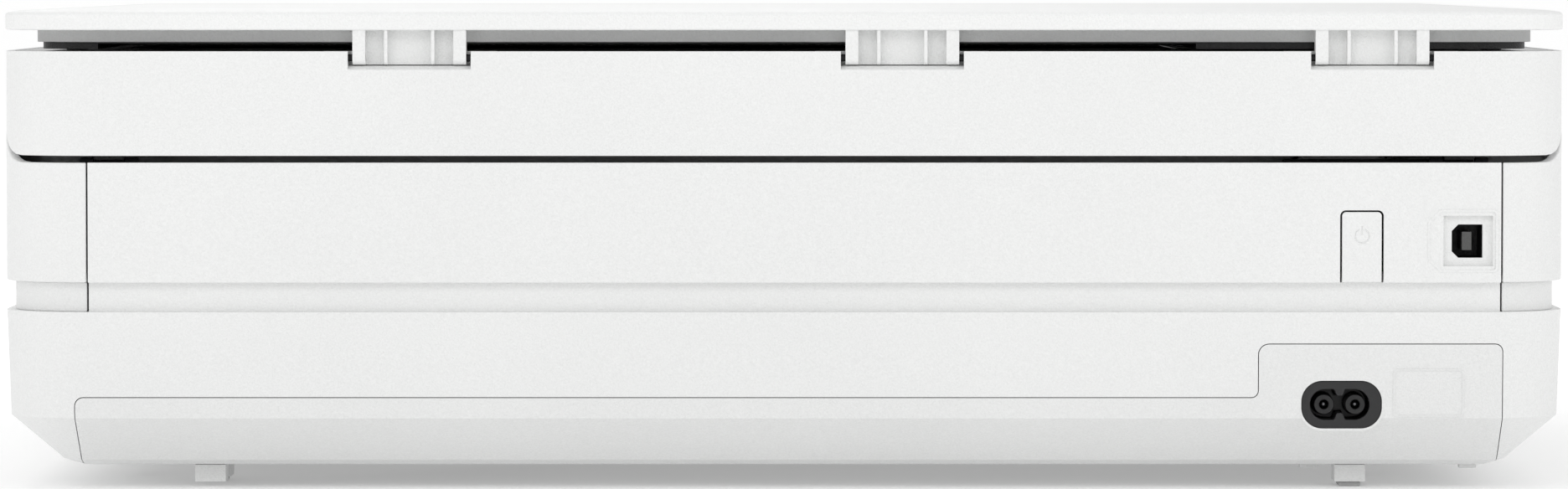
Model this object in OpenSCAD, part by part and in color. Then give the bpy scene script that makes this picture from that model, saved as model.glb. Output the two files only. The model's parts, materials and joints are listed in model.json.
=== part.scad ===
// Flatbed all-in-one inkjet printer: casings, scanner unit, lid, print engine and paper path.
// The front faces -Y and the back faces +Y. The origin is on the table, under the middle.
// A * in a comment means that the size is measured from the back of the casing.

/* [Overall size] */
// Width over the lid
width = 432.5; // [425:0.5:540]
// Depth from the front of the lid to its back
depth = 361; // [358:1:450]
// Radius of the upright corners, seen from above
corner_r = 24; // [20:1:30]
// Height of the feet under the casing's floor
foot_h = 5.8; // [4:0.2:9]

/* [Casing] */
// Wall of the moulded casings
wall = 2.4; // [1.8:0.1:3]
// Height of the long bevel round the bottom
bevel_h = 14.7; // [12:0.1:18]
// Height of the drafted wall above the bevel
lower_h = 29.3; // [29:0.1:36]
// How far the drafted wall leans in at its foot
lower_draft = 1.1; // [0:0.1:2]
// Height of the recessed band between the two casings
band_h = 8.15; // [6:0.05:12]
// Depth of the recessed band
band_in = 2.5; // [1.5:0.1:4]
// Height of the upper casing at the back
rear_wall_h = 32.95; // [30:0.05:40]
// Height of the upper casing at the sides and the front
side_wall_h = 50.35; // [48:0.05:60]
// Step from the lid's edge in to the casing's wall
body_in = 0.25; // [0.1:0.05:1]
// Gap between fixed panels
seam = 0.5; // [0.3:0.1:1]
// Distance of the back panel's seam from the side, away from the sockets
seam_from_far_side = 24.95; // [24.5:0.05:30]
// Distance of the back panel's seam from the side with the sockets
seam_from_near_side = 19.15; // [17:0.05:22]

/* [Scanner unit] */
// Height of the scanner's side wall
scan_side_h = 12.2; // [12:0.1:16]
// Step from the lid's edge in to the scanner's wall
scan_in = 0.35; // [0.3:0.05:0.5]
// Parting gap at the sides
part_gap_side = 1.0; // [0.6:0.1:2]
// Parting gap at the back
part_gap_rear = 1.9; // [1.2:0.1:3]
// Length of the glass opening
glass_l = 301; // [298:1:304]
// Width of the glass opening
glass_w = 218; // [216:1:224]
// Sideways place of the middle of the glass
glass_x = 37.8; // [30:0.1:45]
// Thickness of the glass
glass_t = 2.2; // [1.8:0.1:2.4]
// Distance of the scanner hinge pins from the scanner's back face
scan_pin_in = 8; // [7:0.1:10]
// Drop of the scanner hinge pins below the skirt's edge
scan_pin_drop = 4; // [3.5:0.1:5]
// Radius of the scanner hinge pins
scan_pin_r = 1.5; // [1:0.1:2]
// Distance of the scanner hinge arms from the side
arm_from_side = 30.25; // [30:0.25:34]

/* [Lid] */
// Gap between the scanner's deck and the lid's frame
lid_gap = 2.45; // [2.2:0.05:4]
// Height of the inset frame under the lid's rim
lid_frame_h = 3.35; // [2.5:0.05:5]
// Height of the lid's rim
lid_rim_h = 5; // [4.5:0.1:8]
// Rise of the lid's crown over its rim
crown_h = 0.9; // [0.5:0.1:2]
// How far the frame is inset from the rim
lid_frame_in = 9; // [8.5:0.1:14]
// Middle of each lid hinge
hinge_xs = [102.9, -32.5, -161.6]; // [-170:0.1:170]
// Width of a lid hinge bracket
hinge_w = 31.2; // [28:0.1:34]
// Width of the notch that a bracket sits in
notch_w = 33.8; // [32:0.1:38]
// Radius of the lid hinge pins
lid_pin_r = 1; // [0.8:0.1:1.2]

/* [Back] */
// Distance of the power button from the side
button_from_side = 57.45; // [52:0.05:62]
// Width of the power button
button_w = 10.85; // [8:0.05:12]
// Height of the power button
button_h = 19.3; // [16:0.1:22]
// Gap round the power button
button_gap = 0.575; // [0.3:0.025:0.8]
// Travel of the power button
button_travel = 1.5; // [1:0.1:2]
// Distance of the USB socket from the side
usb_from_side = 28.4; // [27:0.05:31]
// Height of the USB socket over the casing's floor
usb_up = 63.5; // [62:0.1:66]
// Distance of the power inlet from the side
inlet_from_side = 63.35; // [60:0.05:70]
// Height of the power inlet over the casing's floor
inlet_up = 18.5; // [17:0.1:20]
// Width of the power inlet's body
inlet_w = 22.2; // [20:0.1:24]
// Height of the power inlet's body
inlet_h = 13.2; // [12:0.1:15]

/* [Print engine] */
// Width of the widest sheet
paper_w = 210; // [205:1:212]
// Distance of the feed roller from the back *
feed_in = 90.5; // [90:0.5:92]
// Distance of the exit roller from the back *
exit_in = 172.5; // [171:0.5:174]
// Height of the paper's plane over the casing's floor
paper_up = 42.2; // [42:0.1:43]
// Radius of the feed roller's sleeves
feed_r = 7.9; // [7:0.1:8.2]
// Radius of the exit roller's sleeves
exit_r = 5; // [4:0.1:5.5]
// Radius of the carriage's guide rod
rod_r = 4; // [3:0.1:5]
// Width of one ink cartridge
cartridge_w = 34; // [30:0.5:36]
// Length of a cartridge from front to back
cartridge_l = 52; // [48:0.5:54]
// Radius of the carriage belt's pulleys
pulley_r = 5.5; // [5:0.1:6]

/* [Paper tray and output] */
// Half of the width of the tray's front
tray_front_half = 155; // [140:1:160]
// Height of the tray's side walls
tray_wall_h = 21; // [16:1:23]
// Half of the width of the output mouth
mouth_half = 120; // [110:1:124]
// Height of the output mouth
mouth_h = 28.2; // [24:0.1:30]
// Width of the output extender
extender_w = 124; // [100:1:140]

/* [Clearances] */
// Radial clearance of a shaft in its bearing
fit = 0.05; // [0.02:0.01:0.08]
// Clearance between sliding faces
slip = 0.4; // [0.3:0.05:0.6]

/* [Hidden] */

// Outer faces
side = width / 2;
back = depth / 2;
// Seams of the back panel, measured from the middle
rear_seam_a = side - seam_from_far_side;
rear_seam_b = side - seam_from_near_side;
// Levels, from the table up
floor_z = foot_h;
crease_z = floor_z + bevel_h;
lower_top = crease_z + lower_h;
band_top = lower_top + band_h;
rear_top = band_top + rear_wall_h;
side_top = band_top + side_wall_h;
deck_z = side_top + part_gap_side + scan_side_h;
frame_z = deck_z + lid_gap;
rim_z = frame_z + lid_frame_h;
rim_top = rim_z + lid_rim_h;
// Top of the casing's floor
floor_t = 2.1;
bed_z = floor_z + floor_t;
// Thickness of a lofting slab
leaf = 0.02;
// Overshoot of a cut
over = 1;
// Levels of the print engine
paper_z = floor_z + paper_up;
feed_y = back - feed_in;
exit_y = back - exit_in;
rod_at_y = feed_y - 6;
rod_at_z = paper_z + 22;
beam_y = feed_y + 10;
belt_y = feed_y + 3.5;
belt_w = 5;
belt_t = 1.2;
belt_z = paper_z + 36;
frame_l = -(side - 43);
frame_r = side - 19;
frame_t = 1.5;
rail_l = frame_l + frame_t;
rail_r = frame_r;
// Carriage, where it is parked
cartridge_pitch = cartridge_w + 5;
carriage_half = cartridge_pitch + 2.5;
park_x = rail_r - carriage_half - 4.5;
carriage_z = paper_z + 2.5;
bay_y = exit_y + 10;
bay_end = bay_y + cartridge_l;
cartridge_top = carriage_z + 33.5;
latch_z = cartridge_top + 2.5;
latch_l = 24;
// Scanner hinge axis and lid hinge axis
scan_back = back - scan_in;
scan_pin_y = scan_back - scan_pin_in;
scan_pin_z = rear_top + part_gap_rear - scan_pin_drop;
arm_x = side - arm_from_side;
lid_pin_y = back - 2.7;
lid_pin_z = deck_z - 1.8;
knuckle_r = 1.9;
// Scanner pan
pan_in = 6;
pan_wall = 2;
pan_floor_z = side_top - 1.3;
pan_top = deck_z - 4;
deck_t = 2;
glass_y = -2;
head_half = 10;
head_rest_x = glass_x + glass_l / 2 + head_half - 3.5;
scan_rod_r = 2.5;
scan_rod_z = pan_floor_z + 5.2;
scan_rod_y = glass_y + 20;
scan_pulley_r = 5;
scan_belt_y = glass_y - 60;
scan_belt_z = pan_floor_z + 3.5;
scan_belt_h = 3;
scan_pulley_x = side - pan_in - pan_wall - scan_pulley_r - 3;
// Tray and shelf
tray_t = 1.6;
tray_z = bed_z + 1;
tray_floor = tray_z + tray_t;
tray_half = paper_w / 2 + 9;
tray_end = feed_y + 34;
tray_front_y = -back + body_in;
tray_front_l = 24.5;
shelf_z = lower_top - 3.5;
shelf_t = 2;
shelf_half = mouth_half + 28;
extender_z = lower_top + 0.5;
extender_t = 2.3;
extender_l = 106;
extender_y = -back + body_in + 4;
stop_w = 40;
stop_l = 26;
stop_y = extender_y + 4 + stop_l;
// Pick arm
pick_y = feed_y - 28;
pick_z = tray_floor + 22;
pick_reach = 40;
pick_r = 8;
pick_wheel_z = tray_floor + slip + pick_r;
// U-turn guides
turn_y = feed_y + 50;
turn_z = (tray_floor + paper_z) / 2 + 3;
turn_out = (paper_z - tray_floor) / 2 + 0.2;
turn_in = turn_out - 2.5;
guide_t = 2;
guide_half = paper_w / 2 + 7;

// Box given by two opposite corners
module block(a, b) {
    translate(a) cube(b - a);
}

// Rods along each axis
module rod_x(x0, x1, y, z, r) {
    translate([x0, y, z]) rotate([0, 90, 0]) cylinder(h = x1 - x0, r = r, $fn = 48);
}

module rod_y(x, y0, y1, z, r) {
    translate([x, y0, z]) rotate([-90, 0, 0]) cylinder(h = y1 - y0, r = r, $fn = 48);
}

module rod_z(x, y, z0, z1, r) {
    translate([x, y, z0]) cylinder(h = z1 - z0, r = r, $fn = 48);
}

// Rectangle with round corners, centred
module round_rect(w, d, r) {
    square([w, d - 2 * r], center = true);
    square([w - 2 * r, d], center = true);
    for (x = [-1, 1], y = [-1, 1])
        translate([x * (w / 2 - r), y * (d / 2 - r)]) circle(r, $fn = $fn > 0 ? $fn : 64);
}

// The printer's plan, inset by a distance
module plan(inset) {
    round_rect(width - 2 * inset, depth - 2 * inset, max(corner_r - inset, 2));
}

module slab(inset, z0, z1) {
    translate([0, 0, z0]) linear_extrude(z1 - z0) plan(inset);
}

module ring(inset, thickness, z0, z1) {
    difference() {
        slab(inset, z0, z1);
        slab(inset + thickness, z0 - over, z1 + over);
    }
}

// An outline drawn in X and Z, made solid from y0 to y1
module from_back(y0, y1) {
    translate([0, y1, 0]) rotate([90, 0, 0]) linear_extrude(y1 - y0) children();
}

// An outline drawn in Y and Z, made solid from x0 to x1
module from_side(x0, x1) {
    translate([x0, 0, 0]) rotate([90, 0, 90]) linear_extrude(x1 - x0) children();
}

// Points of the arc that rounds the corner b between a and c with radius r
function corner_arc(a, b, c, r, steps = 6) =
    let (
        u = (a - b) / norm(a - b),
        v = (c - b) / norm(c - b),
        half = acos(u * v) / 2,
        o = b + (u + v) / norm(u + v) * r / sin(half),
        p = b + u * r / tan(half) - o,
        q = b + v * r / tan(half) - o,
        start = atan2(p[1], p[0]),
        turn = (atan2(q[1], q[0]) - start + 540) % 360 - 180
    )
    [for (i = [0:steps]) o + r * [cos(start + turn * i / steps), sin(start + turn * i / steps)]];

// Outline whose corners, given as X, Y and radius, are rounded
function rounded(corners) =
    let (n = len(corners), xy = [for (p = corners) [p[0], p[1]]])
    [for (i = [0:n - 1])
        each corners[i][2] > 0
            ? corner_arc(xy[(i + n - 1) % n], xy[i], xy[(i + 1) % n], corners[i][2])
            : [xy[i]]];

// A thin outline line round a shape that is given by a rounded rectangle
module round_line(w, h, r, line) {
    difference() {
        round_rect(w, h, r);
        round_rect(w - 2 * line, h - 2 * line, r - line);
    }
}

// Bottom form of the casing: inset and height over the floor of each edge of the bevel
bevel = [[30, 0], [20, 0.7], [14.6, 2.3], [0, bevel_h]];
module casing_form(inset) {
    hull($fn = 32) {
        for (p = bevel)
            slab(body_in + lower_draft + p[0] + inset, floor_z + p[1], floor_z + p[1] + leaf);
        slab(body_in + inset, lower_top - leaf, lower_top);
    }
}

// Depth from the back at which the side seam starts to rise, and where it is level again
rise_from = 8.5;
rise_to = 38;
rise_steps = 12;

// Seam between the casing and the scanner, seen from the side
function seam_point(i, low, high) = [
    back - rise_from - (rise_to - rise_from) * i / rise_steps,
    low + (high - low) * (1 - cos(180 * i / rise_steps)) / 2
];
module above_seam(low, high) {
    from_side(-side - over, side + over)
        polygon(concat(
            [[back + over, low]],
            [for (i = [0:rise_steps]) seam_point(i, low, high)],
            [[-back - over, high], [-back - over, high + 60], [back + over, high + 60]]
        ));
}

// Outline of the lower back panel; grow moves every edge outwards
module base_outline(grow) {
    step_x = inlet_x() + inlet_w / 2 + 11.2;
    low = crease_z + 5.6 + grow;
    high = crease_z + 20.4 + grow;
    right = rear_seam_a + 3.8 + grow;
    left = -rear_seam_b - 0.5 - grow;
    polygon(rounded([
        [left, -over, 0],
        [right - 0.8, -over, 0],
        [right, low - 4, 0],
        [right, low, 2.3 + grow],
        [step_x + grow, low, 2 - grow],
        [step_x + grow, high, 2.8 + grow],
        [left, high, 2 + grow]
    ]));
}
function inlet_x() = -side + inlet_from_side;
function inlet_mid() = inlet_x() - 0.5;
function usb_x() = -side + usb_from_side;
function button_x() = -side + button_from_side;
inlet_z = floor_z + inlet_up;
usb_z = floor_z + usb_up;
base_panel_l = 24;

module base_panel_room(grow) {
    from_back(back - base_panel_l - grow, back + over) base_outline(grow);
}

// Posts that carry the main board, the frames and the case screws
post_r = 3;
screw_r = 1.5;
screw_xs = [-side + 52, side - 36];
screw_ys = [-back + 36, back - 74];
board_z = usb_z - 8.7;
board_l = -side + 11;
board_r = board_l + 80;
board_y = back - 68;
board_back = back - 9;
post_xs = [board_l + 4.3, board_r - 4];
post_ys = [board_y + 4, board_back - 20];
foot_pads = [[-157.6, back - 30.5, 6.1], [159.8, back - 50.5, 6.1], [-150, -back + 46, 12],
    [150, -back + 46, 12]];

module lower_casing() {
    color("whitesmoke") {
        difference() {
            union() {
                difference() {
                    casing_form(0);
                    translate([0, 0, floor_t]) casing_form(wall);
                }
                ring(body_in + wall - 0.4, 5, lower_top - 2.5, lower_top);
            }
            block([-tray_front_half, -back - over, -over],
                [tray_front_half, tray_front_y + tray_front_l + seam, lower_top + over]);
            base_panel_room(seam / 2);
            for (x = screw_xs, y = screw_ys) rod_z(x, y, 0, bed_z + over, 3.4);
        }
        for (x = screw_xs, y = screw_ys)
            difference() {
                rod_z(x, y, floor_z + 1, lower_top - 14, 4.5);
                rod_z(x, y, floor_z, floor_z + 3, 3.4);
                rod_z(x, y, floor_z, lower_top, screw_r);
            }
        intersection() {
            casing_form(wall / 3);
            floor_ribs();
        }
        foot_bosses();
    }
}

// Tray rails, posts of the main board, and sills of the side frames and the power supply
module floor_ribs() {
    low = bed_z - 1.5;
    for (s = [-1, 1])
        block([s * (tray_half + 2) - 1, -back + 40, low], [s * (tray_half + 2) + 1, tray_end,
            bed_z + 6]);
    for (x = post_xs, y = post_ys) rod_z(x, y, low, board_z, post_r);
    for (x = [frame_l, frame_r])
        block([x - 1, exit_y - 10, low], [x + 2.5, beam_y + 6, bed_z + 4]);
    for (x = [supply_l + 8, supply_r - 8])
        block([x - 1, back - 56, low], [x + 1, back - 34, bed_z + 3]);
}

// Feet bosses under the floor, and the small locating nubs beside them
boss_h = 4.4;
module foot_bosses() {
    for (p = foot_pads)
        block([p[0] - 4.25, p[1] - 5.5, floor_z - boss_h],
            [p[0] + 4.25, p[1] + 5.5, floor_z + 0.3]);
    block([155.55, back - 36, floor_z - boss_h], [164.05, back - 25, floor_z + 0.3]);
    for (x = [-146.5, -191.1])
        block([x - 2.35, back - 36, floor_z - 1.1], [x + 2.35, back - 32, floor_z + 0.3]);
}

module rubber_feet() {
    color("dimgray")
        for (p = foot_pads)
            block([p[0] - p[2] / 2, p[1] - 4.5, 0],
                [p[0] + p[2] / 2, p[1] + 4.5, floor_z - boss_h]);
}

module case_screws() {
    color("silver")
        for (x = screw_xs, y = screw_ys)
            difference() {
                union() {
                    rod_z(x, y, floor_z + 1.2, floor_z + 3, 3);
                    rod_z(x, y, floor_z + 3, lower_top - 16, screw_r);
                }
                block([x - 2, y - 0.3, floor_z], [x + 2, y + 0.3, floor_z + 2]);
                block([x - 0.3, y - 2, floor_z], [x + 0.3, y + 2, floor_z + 2]);
            }
}

// The part of the back that the back panel fills, on both sides of which a seam runs
module rear_gap_room(clearance) {
    block([-rear_seam_b - clearance, 0, lower_top - over],
        [rear_seam_a + clearance, back + over, rear_top + over]);
}

module mouth_room() {
    block([-mouth_half, -back - over, lower_top - over],
        [mouth_half, -back + 30, lower_top + mouth_h]);
}

module middle_band() {
    color("lightgray")
        difference() {
            ring(body_in + band_in, wall, lower_top, band_top);
            mouth_room();
            rear_gap_room(seam);
        }
}

panel_half = 75;
panel_low = side_top - 22;
panel_high = side_top - 7;
module upper_casing() {
    color("whitesmoke")
        difference() {
            union() {
                ring(body_in, wall, band_top, side_top);
                ring(body_in + wall - 0.4, 5, band_top, band_top + 2.5);
            }
            mouth_room();
            rear_gap_room(seam);
            above_seam(rear_top, side_top);
            block([-panel_half, -back - over, panel_low],
                [panel_half, -back + body_in + 1.6, panel_high]);
        }
}

module control_panel() {
    color("black")
        block([-panel_half + 0.15, -back + body_in + 0.1, panel_low + 0.15],
            [panel_half - 0.15, -back + body_in + 1.6, panel_high - 0.15]);
}

// Back panel
usb_frame = [19.3, 17.2];
module cut_corner_frame(w, h, cut, r = 0) {
    polygon(rounded([[-w / 2, -h / 2, r], [w / 2 - cut, -h / 2, r], [w / 2, -h / 2 + cut, r],
        [w / 2, h / 2 - cut, r], [w / 2 - cut, h / 2, r], [-w / 2, h / 2, r]]));
}
button_low = band_top;
button_top = button_low + button_h + button_gap;

// Outline with a flat foot and round upper corners
module tombstone(w, h, r) {
    round_rect(w, h, r);
    translate([-w / 2, -h / 2]) square([w, h / 2]);
}
module rear_panel() {
    color("whitesmoke")
        difference() {
            union() {
                intersection() {
                    union() {
                        ring(body_in, wall, band_top, rear_top);
                        ring(body_in + band_in, wall, lower_top, band_top + 2);
                        ring(body_in + 0.5, band_in + wall - 0.5, band_top, band_top + 2);
                    }
                    rear_gap_room(0);
                }
                // Raised outline round the socket
                from_back(back - body_in - 0.5, back - body_in + 0.2)
                    translate([usb_x() + 1.3, usb_z + 0.1]) difference() {
                        cut_corner_frame(usb_frame[0], usb_frame[1], 3.4, 1.4);
                        cut_corner_frame(usb_frame[0] - 1.2, usb_frame[1] - 1.2, 3.1, 0.8);
                    }
                block([usb_x() - 9, back - body_in - wall - 1.2, usb_z - 8.5],
                    [usb_x() + 9, back - body_in - wall, usb_z + 8.5]);
            }
            from_back(back - body_in - 1.7, back + over)
                translate([usb_x() - 0.15, usb_z + 0.1]) square([13.6, 13.9], center = true);
            from_back(back - 10, back + over)
                translate([usb_x(), usb_z]) cut_corner_frame(8.5, 9.2, 1.8);
            from_back(back - 10, back + over)
                translate([button_x(), (button_low + button_top) / 2])
                    tombstone(button_w + 2 * button_gap, button_top - button_low, 1.6);
        }
}

// Power button with a power symbol let into it
module power_button() {
    y1 = back - body_in - 0.1;
    z0 = button_low + 0.1;
    z1 = z0 + button_h;
    sign_z = z0 + 12.7;
    color("whitesmoke")
        difference() {
            union() {
                from_back(y1 - 4, y1)
                    translate([button_x(), (z0 + z1) / 2]) tombstone(button_w, button_h, 1.1);
                rod_y(button_x(), back - 12.5, y1 - 4, sign_z - 4, 2.2);
            }
            from_back(y1 - 0.3, y1 + over)
                translate([button_x(), sign_z]) {
                    difference() {
                        circle(2.1, $fn = 48);
                        circle(1.75, $fn = 48);
                        translate([-0.8, 0]) square([1.6, 3]);
                    }
                    translate([-0.18, 0.4]) square([0.36, 2.2]);
                }
        }
}

// Lower back panel with the inlet's collar and a plain raised frame
module rear_base_panel() {
    rim = 0.6;
    color("gainsboro") {
        difference() {
            union() {
                intersection() {
                    difference() {
                        casing_form(0);
                        translate([0, 0, floor_t]) casing_form(wall);
                    }
                    base_panel_room(0);
                }
                from_back(back - 14, back - body_in - 1)
                    translate([inlet_mid(), inlet_z])
                        round_rect(inlet_w + 2 * rim, inlet_h + 2 * rim, 5.8 + rim);
            }
            from_back(back - 40, back + over)
                translate([inlet_mid(), inlet_z])
                    round_rect(inlet_w, inlet_h, 5.8);
        }
        intersection() {
            from_back(back - 2, back)
                translate([inlet_x() - 24.4, inlet_z + 3.2]) round_line(19.4, 13.2, 1.4, 0.4);
            difference() {
                casing_form(-0.25);
                casing_form(0.2);
            }
        }
    }
}

// Figure-8 power inlet
inlet_back = back - 20;
inlet_floor = back - body_in - 11.2;
pin_pitch = 8.6;
pin_r = 0.9;
module inlet_cavity() {
    difference() {
        round_rect(16.3, 8.3, 4.1);
        for (s = [-1, 1])
            polygon([[-1.6, s * 4.3], [1.6, s * 4.3], [0.8, s * 2.3], [-0.8, s * 2.3]]);
    }
}
module power_inlet() {
    y1 = back - body_in - 1.2;
    color("black")
        difference() {
            union() {
                difference() {
                    from_back(inlet_back, y1)
                        translate([inlet_mid(), inlet_z]) round_rect(inlet_w, inlet_h, 5.8);
                    from_back(inlet_floor, y1 + over)
                        translate([inlet_x(), inlet_z]) inlet_cavity();
                }
                for (s = [-1, 1])
                    rod_y(inlet_x() + s * pin_pitch / 2, inlet_floor - over, y1 - 0.6, inlet_z,
                        2.8);
            }
            for (s = [-1, 1])
                rod_y(inlet_x() + s * pin_pitch / 2, inlet_floor, y1 + over, inlet_z, 1.25);
        }
}
module inlet_pins() {
    y1 = back - body_in - 4.2;
    color("silver")
        for (s = [-1, 1]) {
            rod_y(inlet_x() + s * pin_pitch / 2, inlet_floor, y1, inlet_z, pin_r);
            translate([inlet_x() + s * pin_pitch / 2, y1, inlet_z]) sphere(pin_r, $fn = 48);
        }
}

// USB socket
usb_back = back - 19;
module usb_shell() {
    color("silver")
        difference() {
            from_back(usb_back, back - body_in - wall - 1.2)
                translate([usb_x(), usb_z]) square([11, 12], center = true);
            from_back(usb_back + 1, back)
                translate([usb_x(), usb_z]) cut_corner_frame(8.5, 9.2, 1.8);
        }
}
module usb_tongue() {
    color("gray")
        block([usb_x() - 1.3, usb_back + 1, usb_z - 2.5],
            [usb_x() + 1.3, back - body_in - 3.2, usb_z + 2.5]);
}

// Dark guide for the flat cable that leads up to the scanner
module cable_guide() {
    top = board_z + board_t;
    low = top + 10;
    y1 = scan_pin_y - 6;
    color("dimgray") {
        from_back(y1 - 2, y1)
            translate([button_x() + 0.45, (low + rear_top + 0.6) / 2])
                round_rect(42, rear_top + 0.6 - low, 2);
        block([button_x() + 13, y1 - 2, top], [button_x() + 19, y1, low + 3]);
    }
}

// Brackets that carry the scanner unit's hinges
arm_w = 8;
cheek_w = 3.5;
module scanner_hinges() {
    color("gainsboro")
        for (s = [-1, 1])
            difference() {
                union() {
                    for (e = [-1, 1]) {
                        x = s * arm_x + e * (arm_w / 2 + 0.5 + cheek_w / 2);
                        from_side(x - cheek_w / 2, x + cheek_w / 2)
                            difference() {
                                union() {
                                    translate([scan_pin_y, scan_pin_z]) circle(3.4, $fn = 48);
                                    translate([scan_pin_y - 3.4, scan_pin_z - 10])
                                        square([6.8, 10]);
                                }
                                translate([scan_pin_y, scan_pin_z])
                                    circle(scan_pin_r + fit, $fn = 48);
                            }
                    }
                    block([s * arm_x - 8, scan_pin_y - 3.4, scan_pin_z - 10],
                        [s * arm_x + 8, scan_pin_y + 3.4, scan_pin_z - 4.2]);
                    block([s * arm_x - 8 - s * 3, scan_pin_y, scan_pin_z - 10],
                        [s * arm_x + 8 - s * 3, back - body_in - wall, scan_pin_z - 5]);
                }
                ring(body_in, wall, 0, side_top);
            }
}

// Space below the seam, and the space that the casing's back edge needs when the unit swings
module below_seam(low, high) {
    from_side(-side - over, side + over)
        polygon(concat(
            [[back + over, low]],
            [for (i = [0:rise_steps]) seam_point(i, low, high)],
            [[-back - over, high], [-back - over, low - 60], [back + over, low - 60]]
        ));
}
swing_air = 0.25;
bend_x = side - corner_r;
bend_l = 16;
function wall_reach(d) =
    back - corner_r + sqrt(pow(corner_r - body_in, 2) - d * d) - scan_pin_y;
function swing_r(d) = norm([max(wall_reach(d), 0), scan_pin_drop - part_gap_rear]) + swing_air;
module swing_room() {
    translate([0, scan_pin_y, scan_pin_z]) rotate([0, 90, 0])
        rotate_extrude($fn = 64)
            polygon(concat(
                [[0, -bend_x - bend_l]],
                [for (i = [8:-1:0]) [swing_r(2 * i), -bend_x - 2 * i]],
                [for (i = [0:8]) [swing_r(2 * i), bend_x + 2 * i]],
                [[0, bend_x + bend_l]]
            ));
}

// Notch in the scanner's back wall for a lid hinge, with its sloped sill
sill_z = lid_pin_z - knuckle_r - 0.3;
sill_drop = 1.5;
pocket_y = lid_pin_y - 4.8;
module notch_room() {
    for (x = hinge_xs)
        from_side(x - notch_w / 2, x + notch_w / 2)
            polygon([[pocket_y, sill_z], [lid_pin_y, sill_z],
                [scan_back + over, sill_z - sill_drop],
                [scan_back + over, deck_z + over], [pocket_y, deck_z + over]]);
}
module hinge_blocks(grow) {
    for (x = hinge_xs)
        block([x - notch_w / 2 - 7 - grow, pocket_y - 1 - grow, deck_z - 6.7],
            [x + notch_w / 2 + 7 + grow, scan_back - 1, deck_z]);
}

scan_wall = 2.2;
module scanner_housing() {
    color("whitesmoke")
        difference() {
            union() {
                ring(scan_in, scan_wall, rear_top, deck_z);
                ring(scan_in + scan_wall - 0.2, 4.2, deck_z - 4, deck_z - deck_t);
                hinge_blocks(0);
            }
            below_seam(rear_top + part_gap_rear, side_top + part_gap_side);
            swing_room();
            notch_room();
            for (x = hinge_xs)
                rod_x(x - notch_w / 2 - 5, x + notch_w / 2 + 5, lid_pin_y, lid_pin_z, lid_pin_r);
        }
}

module scanner_deck() {
    color("black")
        difference() {
            slab(scan_in + scan_wall, deck_z - deck_t, deck_z);
            translate([glass_x, glass_y, deck_z - 3])
                linear_extrude(6) square([glass_l, glass_w], center = true);
            translate([0, 0, -1]) hinge_blocks(seam / 2);
            translate([0, 0, 1]) hinge_blocks(seam / 2);
        }
}

module scan_glass() {
    color("lightcyan")
        translate([glass_x, glass_y, deck_z - deck_t - glass_t])
            linear_extrude(glass_t) square([glass_l + 10, glass_w + 10], center = true);
}

pan_gap_rear = 10;
module pan_plan(inset) {
    translate([0, (pan_in - pan_gap_rear) / 2])
        round_rect(width - 2 * pan_in - 2 * inset, depth - pan_in - pan_gap_rear - 2 * inset,
            corner_r - pan_in - inset);
}
module scanner_pan() {
    color("dimgray")
        difference() {
            union() {
                translate([0, 0, pan_floor_z])
                    linear_extrude(pan_top - pan_floor_z) pan_plan(0);
                for (s = [-1, 1]) {
                    block([s * arm_x - arm_w / 2, scan_pin_y - 5, scan_pin_z],
                        [s * arm_x + arm_w / 2, scan_pin_y + 1.6, pan_floor_z + 1]);
                    rod_x(s * arm_x - arm_w / 2, s * arm_x + arm_w / 2,
                        scan_pin_y, scan_pin_z, 3.2);
                }
            }
            translate([0, 0, pan_floor_z + 2]) linear_extrude(30) pan_plan(pan_wall);
            for (s = [-1, 1])
                rod_x(s * arm_x - arm_w, s * arm_x + arm_w, scan_pin_y, scan_pin_z, scan_pin_r);
            rod_z(-scan_pulley_x, scan_belt_y, pan_floor_z - over, pan_floor_z + 3, 2.5);
        }
}

module scan_rod() {
    half = side - pan_in - pan_wall;
    color("silver") rod_x(-half, half, scan_rod_y, scan_rod_z, scan_rod_r);
}

// Pins of the lid hinges and of the scanner unit's hinges
module hinge_pins() {
    reach = notch_w / 2 + 5;
    color("silver") {
        for (x = hinge_xs, s = [-1, 1])
            rod_x(x + min(s * reach, s * 12.3), x + max(s * reach, s * 12.3),
                lid_pin_y, lid_pin_z, lid_pin_r);
        for (s = [-1, 1])
            rod_x(s * arm_x - arm_w, s * arm_x + arm_w, scan_pin_y, scan_pin_z, scan_pin_r);
    }
}

module scan_head() {
    z0 = pan_floor_z + 2.6;
    z1 = deck_z - deck_t - glass_t - slip;
    x0 = head_rest_x - head_half;
    x1 = head_rest_x + head_half;
    half = glass_w / 2 + 4;
    color("black")
        difference() {
            block([x0, glass_y - half, z0], [x1, glass_y + half, z1]);
            rod_x(x0 - over, x1 + over, scan_rod_y, scan_rod_z, scan_rod_r + fit);
            block([x0 - over, scan_rod_y - scan_rod_r - fit, z0 - over],
                [x1 + over, scan_rod_y + scan_rod_r + fit, scan_rod_z]);
            difference() {
                block([x0 - over, scan_belt_y - 7.2, z0 - over],
                    [x1 + over, scan_belt_y + 7.2, scan_belt_z + scan_belt_h + 1.1]);
                // Jaws that hold one run of the belt
                for (y = [3.9, 6.6])
                    block([x0, scan_belt_y + y, z0 - 2 * over],
                        [x0 + 6, scan_belt_y + y + 0.7, z0 + 10]);
            }
            block([head_rest_x - 3, glass_y - half + 4, z1 - 0.6],
                [head_rest_x + 3, glass_y + half - 4, z1 + over]);
        }
}

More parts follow.
